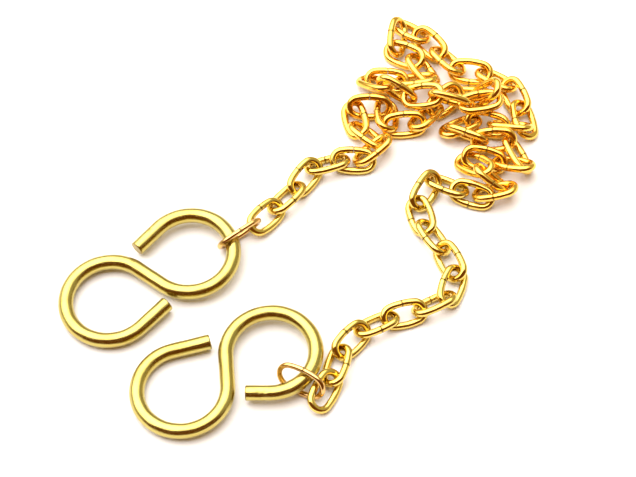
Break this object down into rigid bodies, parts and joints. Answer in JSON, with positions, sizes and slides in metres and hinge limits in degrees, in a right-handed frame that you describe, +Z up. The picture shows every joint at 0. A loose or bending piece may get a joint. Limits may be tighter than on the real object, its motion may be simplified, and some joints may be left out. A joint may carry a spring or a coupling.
{
  "type": "pocket watch chain",
  "caption": "Chain of round-wire oval links with an open S-shaped wire hook on a larger thin link at each end, lying loose with its middle gathered in a low heap.",
  "frame": {"origin": "middle of the ground the chain covers, on the surface it lies on", "axes": "+Z up from the surface; +Y from the hooks towards the heap; +X to the right as seen from the hooks' side"},
  "size_m": [0.085, 0.0872, 0.0076],
  "materials": {
    "hook_brass": "polished drawn wire",
    "end_link_brass": "polished wire",
    "link_brass": "high polish, gilt"
  },
  "bodies": {
    "hook_left": {"hook_left": "hook_brass"},
    "end_link_left": {"end_link_left": "end_link_brass"},
    "link_01": {"link_01": "link_brass"},
    "link_02": {"link_02": "link_brass"},
    "link_03": {"link_03": "link_brass"},
    "link_04": {"link_04": "link_brass"},
    "link_05": {"link_05": "link_brass"},
    "link_06": {"link_06": "link_brass"},
    "link_07": {"link_07": "link_brass"},
    "link_08": {"link_08": "link_brass"},
    "link_09": {"link_09": "link_brass"},
    "link_10": {"link_10": "link_brass"},
    "link_11": {"link_11": "link_brass"},
    "link_12": {"link_12": "link_brass"},
    "link_13": {"link_13": "link_brass"},
    "link_14": {"link_14": "link_brass"},
    "link_15": {"link_15": "link_brass"},
    "link_16": {"link_16": "link_brass"},
    "link_17": {"link_17": "link_brass"},
    "link_18": {"link_18": "link_brass"},
    "link_19": {"link_19": "link_brass"},
    "link_20": {"link_20": "link_brass"},
    "link_21": {"link_21": "link_brass"},
    "link_22": {"link_22": "link_brass"},
    "link_23": {"link_23": "link_brass"},
    "link_24": {"link_24": "link_brass"},
    "link_25": {"link_25": "link_brass"},
    "link_26": {"link_26": "link_brass"},
    "link_27": {"link_27": "link_brass"},
    "link_28": {"link_28": "link_brass"},
    "link_29": {"link_29": "link_brass"},
    "link_30": {"link_30": "link_brass"},
    "link_31": {"link_31": "link_brass"},
    "link_32": {"link_32": "link_brass"},
    "link_33": {"link_33": "link_brass"},
    "link_34": {"link_34": "link_brass"},
    "link_35": {"link_35": "link_brass"},
    "link_36": {"link_36": "link_brass"},
    "link_37": {"link_37": "link_brass"},
    "link_38": {"link_38": "link_brass"},
    "link_39": {"link_39": "link_brass"},
    "link_40": {"link_40": "link_brass"},
    "link_41": {"link_41": "link_brass"},
    "link_42": {"link_42": "link_brass"},
    "link_43": {"link_43": "link_brass"},
    "link_44": {"link_44": "link_brass"},
    "link_45": {"link_45": "link_brass"},
    "link_46": {"link_46": "link_brass"},
    "link_47": {"link_47": "link_brass"},
    "link_48": {"link_48": "link_brass"},
    "link_49": {"link_49": "link_brass"},
    "link_50": {"link_50": "link_brass"},
    "link_51": {"link_51": "link_brass"},
    "link_52": {"link_52": "link_brass"},
    "link_53": {"link_53": "link_brass"},
    "link_54": {"link_54": "link_brass"},
    "link_55": {"link_55": "link_brass"},
    "link_56": {"link_56": "link_brass"},
    "end_link_right": {"end_link_right": "end_link_brass"},
    "hook_right": {"hook_right": "hook_brass"}
  },
  "joints": [
    {"name": "link_27_rock", "type": "hinge", "parent": "link_28", "child": "link_27", "pos_m": [0.02273, 0.037, 0.00126], "axis": [-0.3506, 0.9365, -0.0093], "range_deg": [-10, 3]},
    {"name": "link_29_rock", "type": "hinge", "parent": "link_28", "child": "link_29", "pos_m": [0.03027, 0.03092, 0.00169], "axis": [0.9364, -0.1469, -0.3188], "range_deg": [-4, 8]},
    {"name": "link_26_turn", "type": "hinge", "parent": "link_27", "child": "link_26", "pos_m": [0.02273, 0.037, 0.00126], "axis": [-0.3506, 0.9365, -0.0093], "range_deg": [-3, 10]},
    {"name": "link_30_turn", "type": "hinge", "parent": "link_29", "child": "link_30", "pos_m": [0.03027, 0.03092, 0.00169], "axis": [0.9364, -0.1469, -0.3188], "range_deg": [-8, 4]},
    {"name": "link_25_rock", "type": "hinge", "parent": "link_26", "child": "link_25", "pos_m": [0.01754, 0.03776, 0.00181], "axis": [-0.0967, -0.9927, -0.0714], "range_deg": [-25, 5]},
    {"name": "link_31_rock", "type": "hinge", "parent": "link_30", "child": "link_31", "pos_m": [0.03843, 0.02482, 0.00218], "axis": [0.4147, -0.8877, -0.1999], "range_deg": [-4, 6]},
    {"name": "link_24_turn", "type": "hinge", "parent": "link_25", "child": "link_24", "pos_m": [0.01754, 0.03776, 0.00181], "axis": [-0.0967, -0.9927, -0.0714], "range_deg": [-5, 25]},
    {"name": "link_32_turn", "type": "hinge", "parent": "link_31", "child": "link_32", "pos_m": [0.03843, 0.02482, 0.00218], "axis": [0.4147, -0.8877, -0.1999], "range_deg": [-6, 4]},
    {"name": "link_23_rock", "type": "hinge", "parent": "link_24", "child": "link_23", "pos_m": [0.022, 0.03015, 0.00197], "axis": [0.2799, -0.9556, 0.092], "range_deg": [-6, 3]},
    {"name": "link_33_rock", "type": "hinge", "parent": "link_32", "child": "link_33", "pos_m": [0.0367, 0.01936, 0.00204], "axis": [-0.9078, 0.4174, -0.0409], "range_deg": [-6, 12]},
    {"name": "link_22_turn", "type": "hinge", "parent": "link_23", "child": "link_22", "pos_m": [0.022, 0.03015, 0.00197], "axis": [0.2799, -0.9556, 0.092], "range_deg": [-3, 6]},
    {"name": "link_34_turn", "type": "hinge", "parent": "link_33", "child": "link_34", "pos_m": [0.0367, 0.01936, 0.00204], "axis": [-0.9078, 0.4174, -0.0409], "range_deg": [-12, 6]},
    {"name": "link_21_rock", "type": "hinge", "parent": "link_22", "child": "link_21", "pos_m": [0.01512, 0.02855, 0.00174], "axis": [-0.9479, 0.1891, -0.2564], "range_deg": [-9, 5]},
    {"name": "link_35_rock", "type": "hinge", "parent": "link_34", "child": "link_35", "pos_m": [0.02899, 0.01884, 0.00194], "axis": [-0.9449, -0.3204, 0.0669], "range_deg": [-6, 6]},
    {"name": "link_20_turn", "type": "hinge", "parent": "link_21", "child": "link_20", "pos_m": [0.01512, 0.02855, 0.00174], "axis": [-0.9479, 0.1891, -0.2564], "range_deg": [-5, 9]},
    {"name": "link_36_turn", "type": "hinge", "parent": "link_35", "child": "link_36", "pos_m": [0.02899, 0.01884, 0.00194], "axis": [-0.9449, -0.3204, 0.0669], "range_deg": [-6, 6]},
    {"name": "link_19_rock", "type": "hinge", "parent": "link_20", "child": "link_19", "pos_m": [0.01722, 0.02549, 0.00324], "axis": [0.8563, -0.5144, -0.0455], "range_deg": [-5, 8]},
    {"name": "link_37_rock", "type": "hinge", "parent": "link_36", "child": "link_37", "pos_m": [0.03413, 0.01494, 0.00287], "axis": [0.9333, -0.1775, 0.3121], "range_deg": [-13, 4]},
    {"name": "link_18_turn", "type": "hinge", "parent": "link_19", "child": "link_18", "pos_m": [0.01722, 0.02549, 0.00324], "axis": [0.8563, -0.5144, -0.0455], "range_deg": [-8, 5]},
    {"name": "link_38_turn", "type": "hinge", "parent": "link_37", "child": "link_38", "pos_m": [0.03413, 0.01494, 0.00287], "axis": [0.9333, -0.1775, 0.3121], "range_deg": [-4, 13]},
    {"name": "link_17_rock", "type": "hinge", "parent": "link_18", "child": "link_17", "pos_m": [0.02689, 0.02241, 0.00423], "axis": [0.9661, -0.2581, -0.0098], "range_deg": [-25, 6]},
    {"name": "link_39_rock", "type": "hinge", "parent": "link_38", "child": "link_39", "pos_m": [0.03836, 0.01096, 0.00172], "axis": [-0.9708, 0.2371, -0.0361], "range_deg": [-3.5, 25]},
    {"name": "link_16_turn", "type": "hinge", "parent": "link_17", "child": "link_16", "pos_m": [0.02689, 0.02241, 0.00423], "axis": [0.9661, -0.2581, -0.0098], "range_deg": [-6, 25]},
    {"name": "link_40_turn", "type": "hinge", "parent": "link_39", "child": "link_40", "pos_m": [0.03836, 0.01096, 0.00172], "axis": [-0.9708, 0.2371, -0.0361], "range_deg": [-25, 3.5]},
    {"name": "link_15_rock", "type": "hinge", "parent": "link_16", "child": "link_15", "pos_m": [0.03197, 0.025, 0.00308], "axis": [-0.5237, 0.5467, -0.6534], "range_deg": [-15, 15.5]},
    {"name": "link_41_rock", "type": "hinge", "parent": "link_40", "child": "link_41", "pos_m": [0.03023, 0.00948, 0.0025], "axis": [0.4705, -0.7169, 0.5145], "range_deg": [-4, 4]},
    {"name": "link_14_turn", "type": "hinge", "parent": "link_15", "child": "link_14", "pos_m": [0.03197, 0.025, 0.00308], "axis": [-0.5237, 0.5467, -0.6534], "range_deg": [-15.5, 15]},
    {"name": "link_42_turn", "type": "hinge", "parent": "link_41", "child": "link_42", "pos_m": [0.03023, 0.00948, 0.0025], "axis": [0.4705, -0.7169, 0.5145], "range_deg": [-4, 4]},
    {"name": "link_13_rock", "type": "hinge", "parent": "link_14", "child": "link_13", "pos_m": [0.02607, 0.02408, 0.00173], "axis": [-0.7656, -0.6319, 0.1205], "range_deg": [-11, 5]},
    {"name": "link_43_rock", "type": "hinge", "parent": "link_42", "child": "link_43", "pos_m": [0.03208, 0.0053, 0.00145], "axis": [-0.8292, -0.5573, 0.0415], "range_deg": [-3, 25]},
    {"name": "link_12_turn", "type": "hinge", "parent": "link_13", "child": "link_12", "pos_m": [0.02607, 0.02408, 0.00173], "axis": [-0.7656, -0.6319, 0.1205], "range_deg": [-5, 11]},
    {"name": "link_44_turn", "type": "hinge", "parent": "link_43", "child": "link_44", "pos_m": [0.03208, 0.0053, 0.00145], "axis": [-0.8292, -0.5573, 0.0415], "range_deg": [-25, 3]},
    {"name": "link_11_rock", "type": "hinge", "parent": "link_12", "child": "link_11", "pos_m": [0.01876, 0.01892, 0.00229], "axis": [-0.9938, 0.1011, 0.0453], "range_deg": [-7, 5]},
    {"name": "link_45_swing", "type": "hinge", "parent": "link_44", "child": "link_45", "pos_m": [0.02737, 0.00458, 0.00142], "axis": [0, 0, -1], "range_deg": [-12.5, 3]},
    {"name": "link_10_turn", "type": "hinge", "parent": "link_11", "child": "link_10", "pos_m": [0.01876, 0.01892, 0.00229], "axis": [-0.9938, 0.1011, 0.0453], "range_deg": [-5, 7]},
    {"name": "link_46_swing", "type": "hinge", "parent": "link_45", "child": "link_46", "pos_m": [0.02308, 0.00608, 0.00172], "axis": [0, 0, 1], "range_deg": [-3, 6]},
    {"name": "link_09_rock", "type": "hinge", "parent": "link_10", "child": "link_09", "pos_m": [0.01168, 0.02199, 0.00141], "axis": [-0.999, -0.0255, 0.0358], "range_deg": [-25, 4]},
    {"name": "link_47_swing", "type": "hinge", "parent": "link_46", "child": "link_47", "pos_m": [0.01993, 0.00218, 0.00121], "axis": [0, 0, -1], "range_deg": [-13, 3.5]},
    {"name": "link_08_turn", "type": "hinge", "parent": "link_09", "child": "link_08", "pos_m": [0.01168, 0.02199, 0.00141], "axis": [-0.999, -0.0255, 0.0358], "range_deg": [-4, 25]},
    {"name": "link_48_swing", "type": "hinge", "parent": "link_47", "child": "link_48", "pos_m": [0.02251, -0.00212, 0.00146], "axis": [0, 0, 1], "range_deg": [-3.5, 8]},
    {"name": "link_07_rock", "type": "hinge", "parent": "link_08", "child": "link_07", "pos_m": [0.01077, 0.01803, 0.00086], "axis": [0.8317, -0.5453, -0.1042], "range_deg": [-18, 3]},
    {"name": "link_49_swing", "type": "hinge", "parent": "link_48", "child": "link_49", "pos_m": [0.02439, -0.00681, 0.00159], "axis": [0, 0, -1], "range_deg": [-8.5, 3.5]},
    {"name": "link_06_turn", "type": "hinge", "parent": "link_07", "child": "link_06", "pos_m": [0.01077, 0.01803, 0.00086], "axis": [0.8317, -0.5453, -0.1042], "range_deg": [-3, 18]},
    {"name": "link_50_swing", "type": "hinge", "parent": "link_49", "child": "link_50", "pos_m": [0.02642, -0.0124, 0.0013], "axis": [0, 0, 1], "range_deg": [-4, 22]},
    {"name": "link_05_swing", "type": "hinge", "parent": "link_06", "child": "link_05", "pos_m": [0.0105, 0.01119, 0.00241], "axis": [0, 0, -1], "range_deg": [-3.5, 6]},
    {"name": "link_51_swing", "type": "hinge", "parent": "link_50", "child": "link_51", "pos_m": [0.02484, -0.01691, 0.00133], "axis": [0, 0, -1], "range_deg": [-22, 4]},
    {"name": "link_04_swing", "type": "hinge", "parent": "link_05", "child": "link_04", "pos_m": [0.00632, 0.01149, 0.00135], "axis": [0, 0, 1], "range_deg": [-15, 4]},
    {"name": "link_52_swing", "type": "hinge", "parent": "link_51", "child": "link_52", "pos_m": [0.01972, -0.01964, 0.0016], "axis": [0, 0, 1], "range_deg": [-5, 12]},
    {"name": "link_03_swing", "type": "hinge", "parent": "link_04", "child": "link_03", "pos_m": [0.00179, 0.00989, 0.00129], "axis": [0, 0, -1], "range_deg": [-4, 19]},
    {"name": "link_53_swing", "type": "hinge", "parent": "link_52", "child": "link_53", "pos_m": [0.01486, -0.02133, 0.00145], "axis": [0, 0, -1], "range_deg": [-10, 5.5]},
    {"name": "link_02_swing", "type": "hinge", "parent": "link_03", "child": "link_02", "pos_m": [-0.00192, 0.00556, 0.00173], "axis": [0, 0, 1], "range_deg": [-11.5, 5]},
    {"name": "link_54_swing", "type": "hinge", "parent": "link_53", "child": "link_54", "pos_m": [0.0102, -0.02366, 0.00158], "axis": [0, 0, 1], "range_deg": [-6.5, 8]},
    {"name": "link_01_swing", "type": "hinge", "parent": "link_02", "child": "link_01", "pos_m": [-0.00519, 0.00181, 0.00146], "axis": [0, 0, -1], "range_deg": [-5.5, 11]},
    {"name": "link_55_swing", "type": "hinge", "parent": "link_54", "child": "link_55", "pos_m": [0.00663, -0.02766, 0.00161], "axis": [0, 0, -1], "range_deg": [-8, 8]},
    {"name": "end_link_left_swing", "type": "hinge", "parent": "link_01", "child": "end_link_left", "pos_m": [-0.00888, -0.00238, 0.00199], "axis": [0, 0, 1], "range_deg": [-25, 6.5]},
    {"name": "link_56_swing", "type": "hinge", "parent": "link_55", "child": "link_56", "pos_m": [0.00386, -0.03225, 0.00171], "axis": [0, 0, 1], "range_deg": [-10, 17]},
    {"name": "hook_left_swing", "type": "hinge", "parent": "end_link_left", "child": "hook_left", "pos_m": [-0.01427, -0.00649, 0.00153], "axis": [0, 0, -1], "range_deg": [-9, 18]},
    {"name": "end_link_right_swing", "type": "hinge", "parent": "link_56", "child": "end_link_right", "pos_m": [0.00217, -0.0352, 0.00212], "axis": [0, 0, -1], "range_deg": [-25, 2]},
    {"name": "hook_right_swing", "type": "hinge", "parent": "end_link_right", "child": "hook_right", "pos_m": [-0.00125, -0.03345, 0.00149], "axis": [0, 0, 1], "range_deg": [-2, 25]}
  ],
  "couplings": [
    {"joint": "link_26_turn", "follows": "link_27_rock", "ratio": -1},
    {"joint": "link_30_turn", "follows": "link_29_rock", "ratio": -1},
    {"joint": "link_24_turn", "follows": "link_25_rock", "ratio": -1},
    {"joint": "link_32_turn", "follows": "link_31_rock", "ratio": -1},
    {"joint": "link_22_turn", "follows": "link_23_rock", "ratio": -1},
    {"joint": "link_34_turn", "follows": "link_33_rock", "ratio": -1},
    {"joint": "link_20_turn", "follows": "link_21_rock", "ratio": -1},
    {"joint": "link_36_turn", "follows": "link_35_rock", "ratio": -1},
    {"joint": "link_18_turn", "follows": "link_19_rock", "ratio": -1},
    {"joint": "link_38_turn", "follows": "link_37_rock", "ratio": -1},
    {"joint": "link_16_turn", "follows": "link_17_rock", "ratio": -1},
    {"joint": "link_40_turn", "follows": "link_39_rock", "ratio": -1},
    {"joint": "link_14_turn", "follows": "link_15_rock", "ratio": -1},
    {"joint": "link_42_turn", "follows": "link_41_rock", "ratio": -1},
    {"joint": "link_12_turn", "follows": "link_13_rock", "ratio": -1},
    {"joint": "link_44_turn", "follows": "link_43_rock", "ratio": -1},
    {"joint": "link_10_turn", "follows": "link_11_rock", "ratio": -1},
    {"joint": "link_08_turn", "follows": "link_09_rock", "ratio": -1},
    {"joint": "link_06_turn", "follows": "link_07_rock", "ratio": -1}
  ]
}
